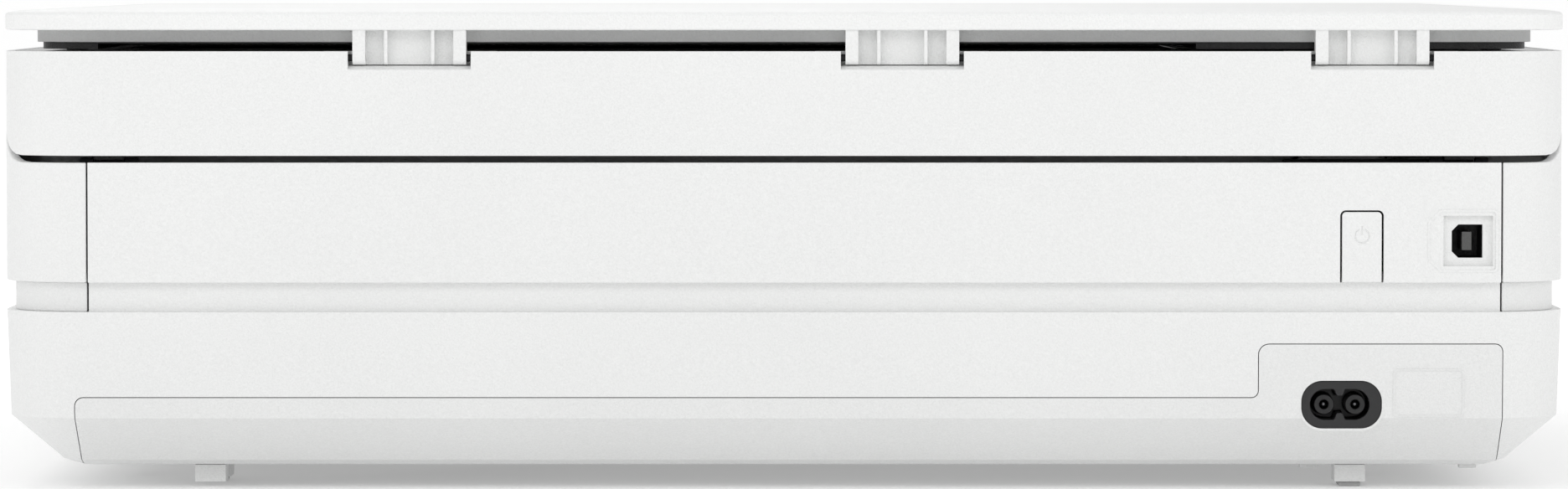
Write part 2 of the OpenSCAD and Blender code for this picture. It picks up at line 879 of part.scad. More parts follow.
// Closed belt round two pulleys, drawn flat: a run of given length and pulley radius
module belt_loop(run, r, t) {
    difference() {
        union() {
            square([run, 2 * (r + t)], center = true);
            for (s = [-1, 1]) translate([s * run / 2, 0]) circle(r + t, $fn = 64);
        }
        square([run, 2 * r], center = true);
        for (s = [-1, 1]) translate([s * run / 2, 0]) circle(r, $fn = 64);
    }
}

module scan_drive() {
    color("black")
        translate([0, scan_belt_y, scan_belt_z])
            linear_extrude(scan_belt_h) belt_loop(2 * scan_pulley_x, scan_pulley_r + 0.05, 1);
    color("silver") {
        difference() {
            rod_z(-scan_pulley_x, scan_belt_y, pan_floor_z - 14, pan_floor_z, 9);
            rod_z(-scan_pulley_x, scan_belt_y, pan_floor_z - 12, pan_floor_z + over, 1.5 + fit);
        }
        rod_z(scan_pulley_x, scan_belt_y, pan_floor_z + 2, pan_floor_z + 7, 1.5);
    }
}

module small_pulley(bore) {
    difference() {
        union() {
            cylinder(h = 4.2, r = scan_pulley_r, $fn = 48);
            for (z = [0, 3.7]) translate([0, 0, z]) cylinder(h = 0.5, r = 6.3, $fn = 48);
        }
        if (bore > 0) translate([0, 0, -over]) cylinder(h = 8, r = bore, $fn = 48);
    }
}
module scan_pulley() {
    color("ivory") {
        translate([-scan_pulley_x, scan_belt_y, scan_belt_z - 0.6]) small_pulley(0);
        rod_z(-scan_pulley_x, scan_belt_y, pan_floor_z - 11, scan_belt_z, 1.5);
    }
}
module scan_idler() {
    color("ivory")
        translate([scan_pulley_x, scan_belt_y, scan_belt_z - 0.6]) small_pulley(1.5 + fit);
}

// Lid
lid_edge = [[0, 0], [0, lid_rim_h - 0.8], [0.25, lid_rim_h - 0.25], [0.9, lid_rim_h],
    [4, lid_rim_h + crown_h / 2], [12, lid_rim_h + crown_h]];
lid_skin = 2;
module lid_cover() {
    color("whitesmoke")
        difference() {
            hull($fn = 32)
                for (p = lid_edge)
                    slab(p[0], rim_z + max(p[1] - leaf, 0), rim_z + max(p[1], leaf));
            hull($fn = 32) slab(lid_skin, rim_z - over, rim_top - 1.2);
        }
}
module lid_frame() {
    color("lightgray") {
        slab(lid_skin + 0.2, rim_z, rim_z + 1.5);
        for (x = [-1, 1], y = [-1, 1])
            rod_z(x * (side - 34), y * (back - 34), rim_z, rim_top - 1.2, 4);
        difference() {
            slab(lid_frame_in, frame_z, rim_z);
            slab(lid_frame_in + 5, frame_z - over, rim_z - 1);
        }
    }
}
liner_in = 1.6;
pad_w = glass_l + 2;
pad_d = glass_w + 7;
module pad_outline(grow) {
    translate([glass_x, glass_y]) square([pad_w + grow, pad_d + grow], center = true);
}
module lid_liner() {
    inset = lid_frame_in + liner_in;
    color("black") {
        difference() {
            slab(inset, frame_z - 1.9, frame_z);
            translate([0, 0, frame_z - 4]) linear_extrude(10) pad_outline(1);
            // Window at the back, through which the pad's edge shows
            block([glass_x - pad_w / 2, glass_y + pad_d / 2, frame_z - 3],
                [glass_x + pad_w / 2, back, frame_z - 0.4]);
        }
        difference() {
            slab(lid_frame_in + 5, frame_z, rim_z - 1);
            translate([0, 0, frame_z - 4]) linear_extrude(10) pad_outline(1);
        }
        for (x = [-1, 1], y = [-1, 1])
            rod_z(x * (side - 20), y * (back - 24), deck_z + 0.1, frame_z - 1.9, 3);
    }
}
module document_pad() {
    color("dimgray")
        translate([0, 0, frame_z - 2.2]) linear_extrude(lid_frame_h + 1.2) pad_outline(0);
}

// Lid hinge brackets: a thin plate with two wide ribs and two narrow ones
module lid_hinges() {
    outer = [hinge_w / 2 - 3.5, hinge_w / 2];
    inner = [6, 6.9];
    plate_y = lid_pin_y - 3.3;
    plate_t = 1.5;
    color("whitesmoke")
        difference() {
            for (x = hinge_xs) {
                block([x - hinge_w / 2, plate_y, lid_pin_z - 1.9],
                    [x + hinge_w / 2, plate_y + plate_t, rim_z]);
                block([x - hinge_w / 2, back - lid_frame_in, frame_z],
                    [x + hinge_w / 2, plate_y + plate_t, rim_z]);
                for (rib = [outer, inner], s = [-1, 1])
                    from_side(x + min(s * rib[0], s * rib[1]), x + max(s * rib[0], s * rib[1])) {
                        translate([lid_pin_y, lid_pin_z]) circle(knuckle_r, $fn = 48);
                        translate([plate_y + 0.5, lid_pin_z])
                            square([lid_pin_y + knuckle_r - plate_y - 0.5, rim_z - lid_pin_z]);
                        translate([plate_y + 0.5, lid_pin_z - 1.9]) square([2, 2.5]);
                    }
            }
            for (x = hinge_xs, s = [-1, 1])
                rod_x(x + min(s * 12, s * 18), x + max(s * 12, s * 18),
                    lid_pin_y, lid_pin_z, lid_pin_r + fit);
        }
}

// Print engine
beam_low = paper_z + 9;
beam_high = paper_z + 48;
station_l = tray_half + 3.6;
head_w = 29;
cap_l = park_x - cartridge_pitch / 2 - head_w / 2 + 0.5;
platen_r = min(station_l, cap_l - 1.5);
feed_z = paper_z - feed_r;
exit_z = paper_z - exit_r;
feed_shaft_r = 4;
exit_shaft_r = 3;
pick_shaft_r = 3;
ear_l = guide_half + 1;
ear_r = ear_l + 4;
module side_frames() {
    base = bed_z + 4;
    color("silver")
        for (x = [frame_l, frame_r])
            difference() {
                from_side(x, x + frame_t)
                    polygon([[exit_y - 12, base], [beam_y + 8, base], [beam_y + 8, beam_high],
                        [beam_y - 14, beam_high], [bay_y + 6, beam_high - 24],
                        [exit_y - 12, paper_z + 16]]);
                rod_x(x - over, x + 3, rod_at_y, rod_at_z, rod_r);
                rod_x(x - over, x + 3, feed_y, feed_z, feed_shaft_r + fit);
                rod_x(x - over, x + 3, exit_y, exit_z, exit_shaft_r + fit);
            }
}

rib_half = paper_w / 2;
module platen() {
    y0 = exit_y + 8;
    y1 = feed_y - feed_r - 1.6;
    color("dimgray")
        difference() {
            union() {
                block([rail_l, y0, paper_z - 10], [platen_r, y1, paper_z - 6]);
                block([-rib_half, y0, paper_z - 7], [rib_half, y1, paper_z - 3]);
                for (x = [-rib_half:10:rib_half])
                    block([x - 0.6, y0 + 2, paper_z - 4], [x + 0.6, y1 - 2, paper_z]);
                block([ear_l, exit_y - 7, exit_z - 7], [ear_r, y0 + 1, paper_z - 6]);
                block([ear_l, y1 - 1, paper_z - 10], [ear_r, feed_y + 7, paper_z - 2]);
                for (s = [-1, 1])
                    block([s * 21.5 - 1.5, pick_y - 5, pick_z - 5],
                        [s * 21.5 + 1.5, pick_y + 5, paper_z - 9]);
            }
            rod_x(ear_l - over, ear_r + over, feed_y, feed_z, feed_shaft_r + fit);
            rod_x(ear_l - over, ear_r + over, exit_y, exit_z, exit_shaft_r + fit);
            rod_x(-30, 30, pick_y, pick_z, pick_shaft_r + fit);
        }
}

module output_shelf() {
    y0 = -back + body_in + wall + 1;
    color("dimgray") {
        block([-shelf_half, y0, shelf_z], [shelf_half, exit_y - 9, shelf_z + shelf_t]);
        for (s = [-1, 1], x = [40, 56])
            block([s * x - 1, y0 + 2, shelf_z + shelf_t],
                [s * x + 1, extender_y + extender_l - 2, extender_z]);
        for (s = [-1, 1])
            block([s * (extender_w / 2 + 1.9) - 1.5, y0 + 2, shelf_z + shelf_t],
                [s * (extender_w / 2 + 1.9) + 1.5, extender_y + extender_l, extender_z + 2]);
        for (s = [-1, 1])
            block([s * (shelf_half - 2) - 2, -back + 40, bed_z],
                [s * (shelf_half - 2) + 2, -back + 60, shelf_z]);
    }
}

module carriage_rod() {
    color("silver") rod_x(frame_l, frame_r + frame_t, rod_at_y, rod_at_z, rod_r);
}

drive_x = rail_l + 15;
idler_x = rail_r - 9.5;
strip_y = rod_at_y + 3;
strip_z = paper_z + 35;
module rail_beam() {
    color("silver")
        difference() {
            union() {
                block([rail_l, beam_y, beam_low], [rail_r, beam_y + frame_t, beam_high]);
                block([rail_l, beam_y - 7.8, beam_high - frame_t], [rail_r, beam_y + 1, beam_high]);
            }
            rod_y(drive_x, beam_y - over, beam_y + 3, belt_z, 3);
        }
    color("lightgray") block([rail_l, strip_y, strip_z], [rail_r, strip_y + 0.3, strip_z + 6]);
}

motor_r = 13;
module carriage_drive() {
    color("black")
        translate([(drive_x + idler_x) / 2, belt_y + belt_w, belt_z]) rotate([90, 0, 0])
            linear_extrude(belt_w) belt_loop(idler_x - drive_x, pulley_r + 0.05, belt_t);
    color("silver") {
        difference() {
            rod_y(drive_x, beam_y + frame_t, beam_y + frame_t + 26, belt_z, motor_r);
            rod_y(drive_x, beam_y, beam_y + 20, belt_z, 1.5 + fit);
        }
        rod_y(idler_x, belt_y - 1, beam_y, belt_z, 2);
    }
}
module wide_pulley(x, bore) {
    difference() {
        union() {
            rod_y(x, belt_y - 0.8, belt_y + belt_w + 0.8, belt_z, pulley_r);
            rod_y(x, belt_y - 0.8, belt_y - 0.2, belt_z, pulley_r + 1.6);
            rod_y(x, belt_y + belt_w + 0.2, belt_y + belt_w + 0.8, belt_z, pulley_r + 1.6);
        }
        if (bore > 0) rod_y(x, belt_y - 2, beam_y, belt_z, bore);
    }
}
module belt_pulley() {
    color("ivory") {
        wide_pulley(drive_x, 0);
        rod_y(drive_x, belt_y, beam_y + frame_t + 17, belt_z, 1.5);
    }
}
module belt_idler() {
    color("ivory") wide_pulley(idler_x, 2 + fit);
}

// Carriage: two open bays, bearings on the rod, a fork on the belt and one round the strip
bay_half = cartridge_w / 2 + 0.3;
cheek_top = latch_z + 2.5;
bearing_y = bay_end + 6;
module carriage() {
    x0 = park_x - carriage_half;
    x1 = park_x + carriage_half;
    mid = cartridge_pitch / 2;
    color("dimgray")
        difference() {
            union() {
                block([x0, bay_y - 3, carriage_z], [x1, bay_end + 6, carriage_z + 2]);
                block([x0, bay_y - 3, carriage_z], [x1, bay_y - 0.5, carriage_z + 9]);
                block([x0, bay_end + 2, carriage_z], [x1, bay_end + 6, cartridge_top]);
                for (x = [x0, x1 - (carriage_half - mid - bay_half)])
                    block([x, bay_y - 3, carriage_z],
                        [x + carriage_half - mid - bay_half, bay_end + 6, cartridge_top - 4]);
                block([park_x - mid + bay_half, bay_y - 3, carriage_z],
                    [park_x + mid - bay_half, bay_end + 6, cartridge_top - 4]);
                // Cheeks of the latch pivots
                for (x = [x0, park_x - mid + bay_half, x1 - (carriage_half - mid - bay_half)])
                    block([x, bay_end - 5, carriage_z],
                        [x + min(carriage_half - mid - bay_half, 2 * (mid - bay_half)),
                        bay_end + 6, cheek_top]);
                for (s = [-1, 1])
                    rod_x(park_x + s * mid - bay_half - 1, park_x + s * mid + bay_half + 1,
                        bay_end + 1.5, latch_z, 1);
                for (s = [-1, 1])
                    block([park_x + s * (carriage_half - 8) - 8, bearing_y - 2, rod_at_z - 8],
                        [park_x + s * (carriage_half - 8) + 8, rod_at_y + 7.5, rod_at_z + 8]);
                block([park_x - 8, bearing_y - 2, rod_at_z],
                    [park_x + 8, rod_at_y + 2, rod_at_z + 8]);
                // Fork on the belt's lower run
                block([park_x - 6, bearing_y, rod_at_z + 4.6],
                    [park_x + 6, belt_y + belt_w + 0.5, belt_z - pulley_r - belt_t - 0.7]);
                block([park_x - 6, belt_y - 4.5, rod_at_z + 5],
                    [park_x + 6, belt_y - 0.9, belt_z - pulley_r + 2.5]);
                block([park_x - 6, belt_y - 2, belt_z - pulley_r + 0.7],
                    [park_x + 6, belt_y + belt_w + 0.5, belt_z - pulley_r + 2.5]);
                // Fork round the encoder strip
                block([park_x + 14, bearing_y - 1, strip_z - 4.5],
                    [park_x + 24, strip_y + 2.6, strip_z - 1.5]);
                for (y = [strip_y - 2.6, strip_y + 1])
                    block([park_x + 14, y, strip_z - 2], [park_x + 24, y + 1.6, strip_z + 5]);
            }
            rod_x(x0 - over, x1 + over, rod_at_y, rod_at_z, rod_r + fit);
            for (s = [-1, 1])
                block([park_x + s * mid - head_w / 2, bay_y + 22, carriage_z - over],
                    [park_x + s * mid + head_w / 2, bay_end - 6, carriage_z + 3]);
        }
}

module ink_cartridges() {
    color("black")
        for (s = [-1, 1]) {
            x = park_x + s * cartridge_pitch / 2;
            translate([x, (bay_y + bay_end) / 2, carriage_z + 2])
                linear_extrude(cartridge_top - carriage_z - 2)
                    round_rect(cartridge_w, cartridge_l, 1.5);
            block([x - 13.5, bay_y + 23, paper_z + 1.5], [x + 13.5, bay_end - 7, carriage_z + 2]);
        }
}

module latch(x) {
    difference() {
        union() {
            block([x - 14.5, bay_end + 1.5 - latch_l, latch_z - 1.6],
                [x + 14.5, bay_end + 1.5, latch_z + 0.4]);
            rod_x(x - 14.5, x + 14.5, bay_end + 1.5, latch_z, 1.9);
            block([x - 8, bay_end + 1.5 - latch_l, latch_z], [x + 8, bay_end + 4 - latch_l,
                latch_z + 1.8]);
        }
        rod_x(x - 20, x + 20, bay_end + 1.5, latch_z, 1 + fit);
    }
}
module latch_colour() {
    color("lightsteelblue") latch(park_x + cartridge_pitch / 2);
}
module latch_black() {
    color("gray") latch(park_x - cartridge_pitch / 2);
}

// Rollers of the paper path
sleeve_xs = [-89, -62, -35, 35, 62, 89];
sleeve_w = 20;
big_pulley_r = 20;
link_r = 7;
feed_link_r = link_r * feed_r / exit_r;
drive_pulley_r = 6;
drive_lane = frame_l - 8;
link_lane = frame_l - 2.6;
lane_w = 4;
link_w = 1.8;
feed_motor_y = feed_y - 45;
feed_motor_z = paper_z + 12;
module feed_roller() {
    color("silver") rod_x(drive_lane - lane_w, ear_r, feed_y, feed_z, feed_shaft_r);
    color("dimgray") {
        for (x = sleeve_xs)
            rod_x(x - sleeve_w / 2, x + sleeve_w / 2, feed_y, feed_z, feed_r);
        rod_x(drive_lane - lane_w, drive_lane, feed_y, feed_z, big_pulley_r);
        rod_x(link_lane - link_w, link_lane, feed_y, feed_z, feed_link_r);
    }
}
module exit_roller() {
    color("silver") rod_x(link_lane - link_w, ear_r, exit_y, exit_z, exit_shaft_r);
    color("dimgray") {
        for (x = sleeve_xs)
            rod_x(x - sleeve_w / 2, x + sleeve_w / 2, exit_y, exit_z, exit_r);
        rod_x(link_lane - link_w, link_lane, exit_y, exit_z, link_r);
    }
}
module feed_pulley() {
    color("ivory") {
        rod_x(drive_lane - lane_w, drive_lane, feed_motor_y, feed_motor_z, drive_pulley_r);
        rod_x(drive_lane - lane_w - 15, drive_lane, feed_motor_y, feed_motor_z, 1.5);
    }
}
module flat_belt(x0, x1, a, ra, b, rb, t) {
    from_side(x0, x1)
        difference() {
            hull($fn = 48) {
                translate(a) circle(ra + t);
                translate(b) circle(rb + t);
            }
            hull($fn = 48) {
                translate(a) circle(ra);
                translate(b) circle(rb);
            }
        }
}
belt_air = 0.3;
module feed_drive() {
    color("black") {
        flat_belt(drive_lane - lane_w + 0.4, drive_lane - 0.4,
            [feed_y, feed_z], big_pulley_r + belt_air,
            [feed_motor_y, feed_motor_z], drive_pulley_r + belt_air, 1);
        flat_belt(link_lane - link_w + 0.2, link_lane - 0.2,
            [feed_y, feed_z], feed_link_r + belt_air, [exit_y, exit_z], link_r + belt_air, 1);
    }
    color("silver")
        difference() {
            rod_x(drive_lane - lane_w - 19, drive_lane - lane_w - 2,
                feed_motor_y, feed_motor_z, motor_r);
            rod_x(drive_lane - lane_w - 16, drive_lane, feed_motor_y, feed_motor_z, 1.5 + fit);
        }
    color("silver")
        for (p = [[-11.4, 2], [-3, 11.2]])
            rod_x(drive_lane - lane_w - 2, frame_l, feed_motor_y + p[0], feed_motor_z + p[1], 1.5);
}

pinch_r = 3.5;
star_r = 4;
pinch_z = paper_z + slip + pinch_r;
star_z = paper_z + slip + star_r;
holder_xs = [-105, 0, 105];
module roller_holders() {
    color("gray")
        difference() {
            union() {
                block([-108, feed_y - 5, beam_low + 1], [108, beam_y, beam_low + 3]);
                for (x = holder_xs)
                    block([x - 1.5, feed_y - 3, pinch_z - 3], [x + 1.5, feed_y + 3, beam_low + 2]);
                block([rail_l, exit_y - 4, star_z + 5.2], [rail_r, exit_y + 4, star_z + 7.5]);
                for (x = holder_xs)
                    block([x - 1.5, exit_y - 3, star_z - 2.8], [x + 1.5, exit_y + 3, star_z + 6]);
            }
            rod_x(-110, 110, feed_y, pinch_z, 1.2 + fit);
            rod_x(-110, 110, exit_y, star_z, 1 + fit);
        }
}
module pinch_rollers() {
    color("silver") rod_x(-107, 107, feed_y, pinch_z, 1.2);
    color("dimgray")
        for (x = sleeve_xs)
            rod_x(x - 8, x + 8, feed_y, pinch_z, pinch_r);
}
star_points = 16;
module star_wheels() {
    color("silver") rod_x(-107, 107, exit_y, star_z, 1);
    color("gainsboro")
        for (x = sleeve_xs)
            from_side(x - 0.5, x + 0.5)
                translate([exit_y, star_z])
                    polygon([for (i = [0:2 * star_points - 1])
                        let (r = i % 2 == 0 ? star_r : star_r - 0.9, a = 180 * i / star_points)
                        [r * cos(a), r * sin(a)]]);
}

arm_in = 13;
arm_t = 3;
module pick_arm() {
    wheel = [pick_y + pick_reach, pick_wheel_z];
    pivot = [pick_y, pick_z];
    color("gray")
        difference() {
            union() {
                rod_x(-26, 26, pick_y, pick_z, pick_shaft_r);
                for (s = [-1, 1])
                    from_side(s * (arm_in + arm_t / 2) - arm_t / 2,
                        s * (arm_in + arm_t / 2) + arm_t / 2)
                        hull($fn = 32) {
                            translate(pivot) circle(5);
                            translate(wheel) circle(4);
                        }
                block([-arm_in - 1, pick_y + 9, pick_z - 6],
                    [arm_in + 1, pick_y + 15, pick_z - 2.5]);
            }
            for (s = [-1, 1])
                rod_x(s * (arm_in + arm_t / 2) - arm_t, s * (arm_in + arm_t / 2) + arm_t,
                    wheel[0], wheel[1], 2.5 + fit);
        }
}
module pick_roller() {
    wheel_y = pick_y + pick_reach;
    color("silver") rod_x(-arm_in - arm_t - 1, arm_in + arm_t + 1, wheel_y, pick_wheel_z, 2.5);
    color("dimgray") rod_x(-arm_in + 1.5, arm_in - 1.5, wheel_y, pick_wheel_z, pick_r);
}

// Inner and outer guides that turn the sheet round from the tray to the feed roller
module half_turn(r, t) {
    intersection() {
        difference() {
            circle(r, $fn = 96);
            if (t < r) circle(r - t, $fn = 96);
        }
        translate([0, -r - over]) square([r + over, 2 * r + 2 * over]);
    }
}
module paper_guides() {
    color("gray") {
        from_side(-guide_half, guide_half)
            translate([turn_y, turn_z]) {
                half_turn(turn_in, guide_t);
                translate([-20, turn_in - guide_t]) square([20.02, guide_t]);
                translate([-18, -turn_in]) square([18.02, guide_t]);
            }
        from_side(-guide_half, guide_half)
            translate([turn_y, turn_z]) {
                half_turn(turn_out + guide_t, guide_t);
                translate([-32, turn_out]) square([32.02, guide_t]);
                translate([-11, -turn_out - guide_t]) square([11.02, guide_t]);
            }
        for (s = [-1, 1])
            from_side(s * (guide_half + 1) - 1, s * (guide_half + 1) + 1)
                translate([turn_y, turn_z]) {
                    half_turn(turn_out + guide_t, turn_out + guide_t);
                    translate([-11, -turn_out - guide_t])
                        square([11.02, 2 * turn_out + 2 * guide_t]);
                    translate([-8, bed_z - turn_z]) square([12, 8]);
                }
    }
}

// Paper tray
tray_wall_t = 2;
guide_y0 = -back + 90;
guide_y1 = guide_y0 + 80;
module paper_tray() {
    color("gainsboro") {
        intersection() {
            difference() {
                casing_form(0);
                translate([0, 0, floor_t]) casing_form(wall);
            }
            block([-tray_front_half + seam, -back - over, 0],
                [tray_front_half - seam, tray_front_y + tray_front_l, lower_top - slip]);
        }
        difference() {
            union() {
                block([-tray_half, -back + 17, tray_z], [tray_half, tray_end, tray_floor]);
                for (s = [-1, 1])
                    block([s * (tray_half - tray_wall_t / 2) - tray_wall_t / 2, -back + 6,
                        tray_z + 1],
                        [s * (tray_half - tray_wall_t / 2) + tray_wall_t / 2, tray_end,
                        tray_floor + tray_wall_h]);
            }
            for (s = [-1, 1])
                block([s * (paper_w / 4 + 14) - paper_w / 4 - 1, guide_y0 + 30 + s * 8 - 4.2,
                    tray_floor - 0.8],
                    [s * (paper_w / 4 + 14) + paper_w / 4 - 8, guide_y0 + 30 + s * 8 + 4.2,
                    tray_floor + over]);
        }
    }
}
// Width guides: an upright fence and a foot that runs in a groove of the tray
module width_guide(s) {
    face = paper_w / 2 + 0.5;
    y = guide_y0 + 30 + s * 8;
    color("gray") {
        block([s * (face + 1) - 1, guide_y0, tray_floor + slip],
            [s * (face + 1) + 1, guide_y1, tray_floor + 14]);
        block([s * (face + 1) + min(s * -28, s * 1), y - 10, tray_floor + slip],
            [s * (face + 1) + max(s * -28, s * 1), y + 10, tray_floor + slip + 1]);
    }
}
module width_guide_left() {
    width_guide(-1);
}
module width_guide_right() {
    width_guide(1);
}

// Output extender and its flip-up stop
module output_extender() {
    y1 = extender_y + extender_l;
    color("gainsboro")
        difference() {
            union() {
                block([-extender_w / 2, extender_y, extender_z],
                    [extender_w / 2, y1, extender_z + extender_t]);
                for (s = [-1, 1])
                    rod_x(s * (stop_w / 2 + 2.5) - 2.5, s * (stop_w / 2 + 2.5) + 2.5,
                        stop_y, extender_z + extender_t / 2, extender_t / 2);
            }
            block([-stop_w / 2 - 0.4, extender_y + 3.6, extender_z - over],
                [stop_w / 2 + 0.4, stop_y + 2, extender_z + extender_t + over]);
            rod_x(-stop_w / 2 - 5, stop_w / 2 + 5, stop_y, extender_z + extender_t / 2, 0.8);
        }
}
module paper_stop() {
    z = extender_z + extender_t / 2;
    color("gainsboro") {
        block([-stop_w / 2, extender_y + 4, z - 0.9], [stop_w / 2, stop_y, z + 0.9]);
        rod_x(-stop_w / 2, stop_w / 2, stop_y, z, 0.9);
        rod_x(-stop_w / 2 - 4, stop_w / 2 + 4, stop_y, z, 0.8 - fit);
    }
}

// Service station: a tub with two capping wells and two wiper blades
module service_station() {
    cap_half = head_w / 2 - 0.5;
    base = bed_z + 4;
    top = paper_z - 4;
    y0 = exit_y + 16;
    y1 = feed_y - feed_r - 3;
    color("gray")
        difference() {
            block([station_l, y0, base], [frame_r, y1, top]);
            block([station_l + 2, y0 + 2, base + 12], [frame_r - 2, y1 - 2, top + over]);
        }
    for (s = [-1, 1]) {
        x = park_x + s * cartridge_pitch / 2;
        color("dimgray")
            difference() {
                union() {
                    block([max(x - cap_half, station_l), bay_y + 22, base + 12],
                        [x + cap_half, bay_end - 6, paper_z + 1]);
                    block([x - cap_half, bay_y + 22, max(base + 12, tray_floor + tray_wall_h + 1)],
                        [x + cap_half, bay_end - 6, paper_z + 1]);
                }
                block([x - cap_half + 2, bay_y + 24, paper_z - 5],
                    [x + cap_half - 2, bay_end - 8, paper_z + 2]);
            }
        color("dimgray")
            block([max(x - cap_half + 2, station_l), bay_y + 9, base + 12],
                [x + cap_half - 2, bay_y + 10.2, paper_z + 1]);
    }
}

// Main board with its switch, socket feet, chips and connectors
board_t = 1.6;
module main_board() {
    top = board_z + board_t;
    color("green") block([board_l, board_y, board_z], [board_r, board_back, top]);
    color("black") {
        block([button_x() - 4, back - 22, top], [button_x() + 4, back - 12.5 - button_travel - 0.3,
            top + 9]);
        block([usb_x() - 5.5, usb_back, top], [usb_x() + 5.5, back - 9, usb_z - 6]);
        translate([board_r - 30, board_y + 24, top]) linear_extrude(2) square(18, center = true);
        translate([board_r - 54, board_y + 24, top]) linear_extrude(1.4) square([10, 14],
            center = true);
    }
    color("ivory")
        for (i = [0:2])
            block([board_r - 16 - i * 20, board_y + 2, top], [board_r - 2 - i * 20, board_y + 7,
                top + 5]);
}
supply_l = -side + 26;
supply_r = supply_l + 57;
module power_supply() {
    color("black")
        difference() {
            block([supply_l, back - 58, bed_z + 3], [supply_r, inlet_back, bed_z + 32]);
            for (i = [0:6])
                block([supply_l + 6 + i * 7, back - 50, bed_z + 31], [supply_l + 9 + i * 7,
                    inlet_back - 8, bed_z + 33]);
        }
}

lower_casing();
middle_band();
upper_casing();
rear_panel();
rear_base_panel();
usb_shell();
usb_tongue();
power_inlet();
inlet_pins();
cable_guide();
rubber_feet();
case_screws();
control_panel();
scanner_hinges();
side_frames();
platen();
output_shelf();
carriage_rod();
rail_beam();
carriage_drive();
roller_holders();
feed_drive();
paper_guides();
service_station();
main_board();
power_supply();
scanner_housing();
scanner_deck();
scanner_pan();
scan_glass();
scan_rod();
scan_drive();
hinge_pins();
scan_head();
scan_pulley();
scan_idler();
lid_cover();
lid_frame();
lid_liner();
document_pad();
lid_hinges();
power_button();
carriage();
ink_cartridges();
latch_colour();
latch_black();
belt_pulley();
belt_idler();
feed_roller();
exit_roller();
pinch_rollers();
star_wheels();
feed_pulley();
pick_arm();
pick_roller();
paper_tray();
width_guide_left();
width_guide_right();
output_extender();
paper_stop();
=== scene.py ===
"""Looks for the flatbed inkjet printer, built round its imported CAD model.

Metres, with Z up, and the back with the sockets faces +Y.
"""
import json
import math

import bpy
import bmesh
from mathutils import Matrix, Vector


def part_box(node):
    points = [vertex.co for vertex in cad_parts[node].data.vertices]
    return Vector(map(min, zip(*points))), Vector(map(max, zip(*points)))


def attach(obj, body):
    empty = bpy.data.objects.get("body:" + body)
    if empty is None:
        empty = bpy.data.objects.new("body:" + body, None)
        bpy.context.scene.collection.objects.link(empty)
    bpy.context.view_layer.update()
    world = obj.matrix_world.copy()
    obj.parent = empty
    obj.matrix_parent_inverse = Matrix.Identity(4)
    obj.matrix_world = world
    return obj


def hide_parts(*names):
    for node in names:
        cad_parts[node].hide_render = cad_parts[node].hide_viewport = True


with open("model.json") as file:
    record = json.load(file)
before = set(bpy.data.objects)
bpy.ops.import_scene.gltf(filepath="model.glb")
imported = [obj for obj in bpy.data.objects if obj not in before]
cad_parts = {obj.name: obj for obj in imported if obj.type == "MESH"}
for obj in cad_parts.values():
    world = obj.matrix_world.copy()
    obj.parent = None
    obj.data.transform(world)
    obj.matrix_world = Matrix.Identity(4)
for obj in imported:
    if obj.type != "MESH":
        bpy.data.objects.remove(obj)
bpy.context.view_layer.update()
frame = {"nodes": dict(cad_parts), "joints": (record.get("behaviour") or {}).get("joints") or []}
nodes = frame["nodes"]


# ---------------------------------------------------------------- materials
def new_material(name):
    """An empty material with one shader, as material, node tree and shader."""
    material = bpy.data.materials.new(name)
    material.use_nodes = True
    tree = material.node_tree
    tree.nodes.clear()
    out = tree.nodes.new("ShaderNodeOutputMaterial")
    shader = tree.nodes.new("ShaderNodeBsdfPrincipled")
    tree.links.new(shader.outputs["BSDF"], out.inputs["Surface"])
    return material, tree, shader


def noise(tree, scale, detail=2.0, rough=0.5, stretch=None):
    """A noise texture on the object's own coordinates, with its scale in features per metre."""
    coords = tree.nodes.new("ShaderNodeTexCoord")
    source = coords.outputs["Object"]
    if stretch:
        mapping = tree.nodes.new("ShaderNodeMapping")
        mapping.inputs["Scale"].default_value = stretch
        tree.links.new(source, mapping.inputs["Vector"])
        source = mapping.outputs["Vector"]
    texture = tree.nodes.new("ShaderNodeTexNoise")
    texture.inputs["Scale"].default_value = scale
    texture.inputs["Detail"].default_value = detail
    texture.inputs["Roughness"].default_value = rough
    tree.links.new(source, texture.inputs["Vector"])
    return texture.outputs["Fac"]


def spread(tree, value, low, high, start=0.3, end=0.7):
    """Maps a noise value to the range low to high."""
    node = tree.nodes.new("ShaderNodeMapRange")
    node.inputs["From Min"].default_value = start
    node.inputs["From Max"].default_value = end
    node.inputs["To Min"].default_value = low
    node.inputs["To Max"].default_value = high
    tree.links.new(value, node.inputs["Value"])
    return node.outputs["Result"]


def tint(tree, value, low, high):
    """A colour that runs from low to high with a value from 0 to 1."""
    node = tree.nodes.new("ShaderNodeMix")
    node.data_type = "RGBA"
    node.inputs[6].default_value = (*low, 1)
    node.inputs[7].default_value = (*high, 1)
    tree.links.new(value, node.inputs[0])
    return node.outputs[2]


def bump(tree, shader, height, distance, strength=1.0, after=None):
    """Relief of that height in metres, on top of another one if after is given."""
    node = tree.nodes.new("ShaderNodeBump")
    node.inputs["Strength"].default_value = strength
    node.inputs["Distance"].default_value = distance
    tree.links.new(height, node.inputs["Height"])
    if after:
        tree.links.new(after, node.inputs["Normal"])
    if shader:
        tree.links.new(node.outputs["Normal"], shader.inputs["Normal"])
    return node.outputs["Normal"]


def scaled(colour, factor):
    """The colour made brighter or darker, and never over 1."""
    return tuple(min(1.0, c * factor) for c in colour)


